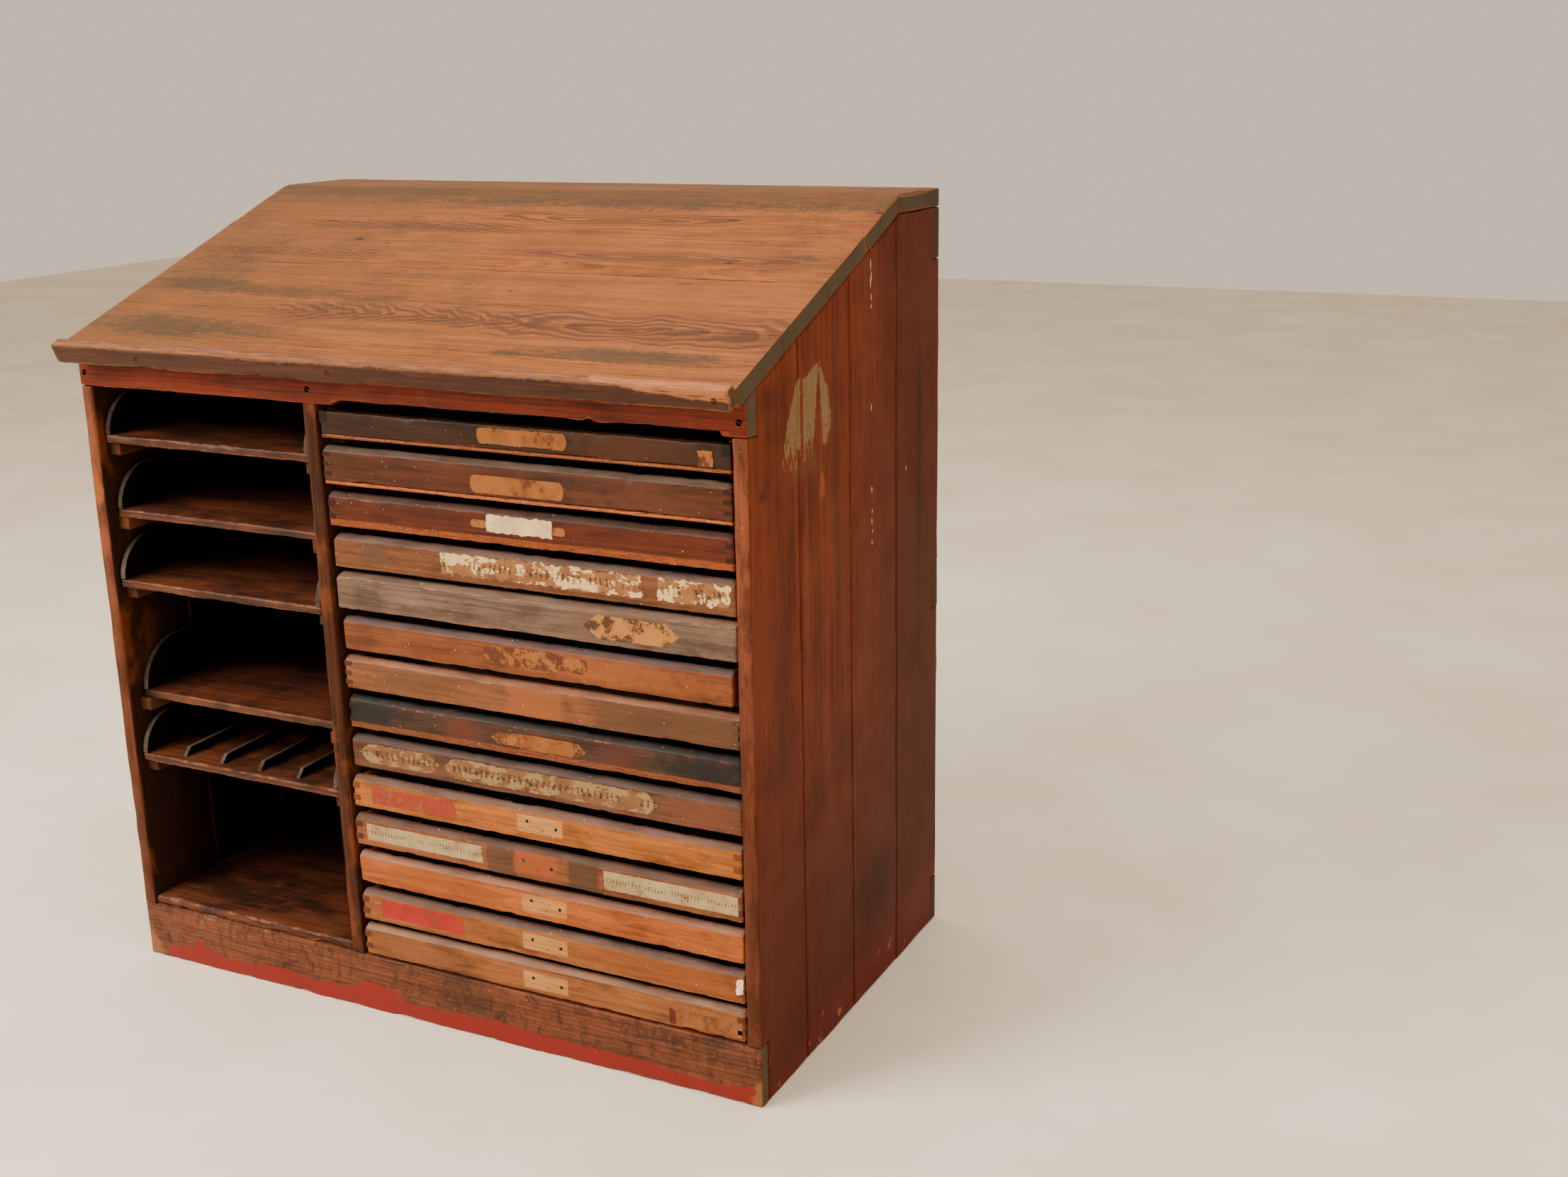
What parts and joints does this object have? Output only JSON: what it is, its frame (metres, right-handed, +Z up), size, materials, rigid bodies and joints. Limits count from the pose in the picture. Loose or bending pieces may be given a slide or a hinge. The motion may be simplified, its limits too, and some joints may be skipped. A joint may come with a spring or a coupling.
{
  "type": "type case cabinet",
  "caption": "Wooden compositor's cabinet with a sloping desk top and front ledge, a bay of sliding type cases and a bay of open sliding trays over an open lower shelf.",
  "frame": {"origin": "floor level, under the centre of the cabinet's bounding box at rest", "axes": "+X to the right as seen from the front, +Y to the back, +Z up"},
  "size_m": [1.13, 0.6994, 1.208],
  "materials": {
    "painted_sides": "red-brown stained planks, semi-gloss, worn",
    "frame_edges": "red-brown stain with pale worn arrises",
    "desk_top": "waxed pine, warm orange-brown, grimy bands",
    "flat_top": "bare dusty pine",
    "plinth": "worn brown stain over a red painted foot",
    "inside_wood": "dark dusty stained pine",
    "runner_wood": "dark bare wood, rubbed",
    "tray_wood": "dark stained boards, rubbed edges",
    "cheek_wood": "grey dusty wood edges",
    "divider_wood": "dusty thin wood",
    "screw_iron": "dark rusted iron",
    "label_paper": "blank aged paper, torn edges",
    "case_wood_01": "stained wood front, dusty bevel, worn corners",
    "case_wood_02": "stained wood front, dusty bevel, worn corners",
    "case_wood_03": "stained wood front, dusty bevel, worn corners",
    "case_wood_04": "stained wood front, dusty bevel, worn corners",
    "case_wood_05": "stained wood front, dusty bevel, worn corners",
    "case_wood_06": "stained wood front, dusty bevel, worn corners",
    "case_wood_07": "stained wood front, dusty bevel, worn corners",
    "case_wood_08": "stained wood front, dusty bevel, worn corners",
    "case_wood_09": "stained wood front, dusty bevel, worn corners",
    "case_wood_10": "stained wood front, dusty bevel, worn corners",
    "case_wood_11": "stained wood front, dusty bevel, worn corners",
    "case_wood_12": "stained wood front, dusty bevel, worn corners",
    "case_wood_13": "stained wood front, dusty bevel, worn corners",
    "case_wood_14": "stained wood front, dusty bevel, worn corners"
  },
  "bodies": {
    "carcass": {"top_front_rail": "frame_edges", "plinth_board": "plinth", "slope_boards": "desk_top", "flat_top_board": "flat_top", "front_ledge": "frame_edges", "centre_divider": "frame_edges", "tray_bay_floor": "inside_wood", "back_boards": "inside_wood", "back_rails": "painted_sides", "case_runners": "runner_wood", "tray_cleats": "runner_wood", "screws": "screw_iron", "left_side_board_1": "painted_sides", "left_side_board_2": "painted_sides", "left_side_board_3": "painted_sides", "left_side_board_4": "painted_sides", "right_side_board_1": "painted_sides", "right_side_board_2": "painted_sides", "right_side_board_3": "painted_sides", "right_side_board_4": "painted_sides"},
    "case_01": {"case_01_frame": "case_wood_01", "case_01_dividers": "divider_wood"},
    "case_02": {"case_02_frame": "case_wood_02", "case_02_dividers": "divider_wood"},
    "case_03": {"case_03_frame": "case_wood_03", "case_03_dividers": "divider_wood"},
    "case_04": {"case_04_frame": "case_wood_04", "case_04_dividers": "divider_wood"},
    "case_05": {"case_05_frame": "case_wood_05", "case_05_dividers": "divider_wood"},
    "case_06": {"case_06_frame": "case_wood_06", "case_06_dividers": "divider_wood"},
    "case_07": {"case_07_frame": "case_wood_07", "case_07_dividers": "divider_wood"},
    "case_08": {"case_08_frame": "case_wood_08", "case_08_dividers": "divider_wood"},
    "case_09": {"case_09_frame": "case_wood_09", "case_09_dividers": "divider_wood"},
    "case_10": {"case_10_frame": "case_wood_10", "case_10_dividers": "divider_wood"},
    "case_11": {"case_11_frame": "case_wood_11", "case_11_dividers": "divider_wood"},
    "case_12": {"case_12_frame": "case_wood_12", "case_12_dividers": "divider_wood"},
    "case_13": {"case_13_frame": "case_wood_13", "case_13_dividers": "divider_wood"},
    "case_14": {"case_14_frame": "case_wood_14", "case_14_dividers": "divider_wood"},
    "tray_1": {"tray_1_board": "tray_wood", "tray_1_cheeks": "cheek_wood"},
    "tray_2": {"tray_2_board": "tray_wood", "tray_2_cheeks": "cheek_wood"},
    "tray_3": {"tray_3_board": "tray_wood", "tray_3_cheeks": "cheek_wood"},
    "tray_4": {"tray_4_board": "tray_wood", "tray_4_cheeks": "cheek_wood"},
    "tray_5": {"tray_5_board": "tray_wood", "tray_5_cheeks": "cheek_wood", "tray_5_dividers": "cheek_wood"}
  },
  "joints": [
    {"name": "case_01_slide", "type": "slide", "parent": "carcass", "child": "case_01", "axis": [0, -1, 0], "range_m": [0, 0.38]},
    {"name": "case_02_slide", "type": "slide", "parent": "carcass", "child": "case_02", "axis": [0, -1, 0], "range_m": [0, 0.38]},
    {"name": "case_03_slide", "type": "slide", "parent": "carcass", "child": "case_03", "axis": [0, -1, 0], "range_m": [0, 0.38]},
    {"name": "case_04_slide", "type": "slide", "parent": "carcass", "child": "case_04", "axis": [0, -1, 0], "range_m": [0, 0.38]},
    {"name": "case_05_slide", "type": "slide", "parent": "carcass", "child": "case_05", "axis": [0, -1, 0], "range_m": [0, 0.38]},
    {"name": "case_06_slide", "type": "slide", "parent": "carcass", "child": "case_06", "axis": [0, -1, 0], "range_m": [0, 0.38]},
    {"name": "case_07_slide", "type": "slide", "parent": "carcass", "child": "case_07", "axis": [0, -1, 0], "range_m": [0, 0.38]},
    {"name": "case_08_slide", "type": "slide", "parent": "carcass", "child": "case_08", "axis": [0, -1, 0], "range_m": [0, 0.38]},
    {"name": "case_09_slide", "type": "slide", "parent": "carcass", "child": "case_09", "axis": [0, -1, 0], "range_m": [0, 0.38]},
    {"name": "case_10_slide", "type": "slide", "parent": "carcass", "child": "case_10", "axis": [0, -1, 0], "range_m": [0, 0.38]},
    {"name": "case_11_slide", "type": "slide", "parent": "carcass", "child": "case_11", "axis": [0, -1, 0], "range_m": [0, 0.38]},
    {"name": "case_12_slide", "type": "slide", "parent": "carcass", "child": "case_12", "axis": [0, -1, 0], "range_m": [0, 0.38]},
    {"name": "case_13_slide", "type": "slide", "parent": "carcass", "child": "case_13", "axis": [0, -1, 0], "range_m": [0, 0.38]},
    {"name": "case_14_slide", "type": "slide", "parent": "carcass", "child": "case_14", "axis": [0, -1, 0], "range_m": [0, 0.38]},
    {"name": "tray_1_slide", "type": "slide", "parent": "carcass", "child": "tray_1", "axis": [0, -1, 0], "range_m": [0, 0.36]},
    {"name": "tray_2_slide", "type": "slide", "parent": "carcass", "child": "tray_2", "axis": [0, -1, 0], "range_m": [0, 0.36]},
    {"name": "tray_3_slide", "type": "slide", "parent": "carcass", "child": "tray_3", "axis": [0, -1, 0], "range_m": [0, 0.36]},
    {"name": "tray_4_slide", "type": "slide", "parent": "carcass", "child": "tray_4", "axis": [0, -1, 0], "range_m": [0, 0.36]},
    {"name": "tray_5_slide", "type": "slide", "parent": "carcass", "child": "tray_5", "axis": [0, -1, 0], "range_m": [0, 0.36]}
  ]
}
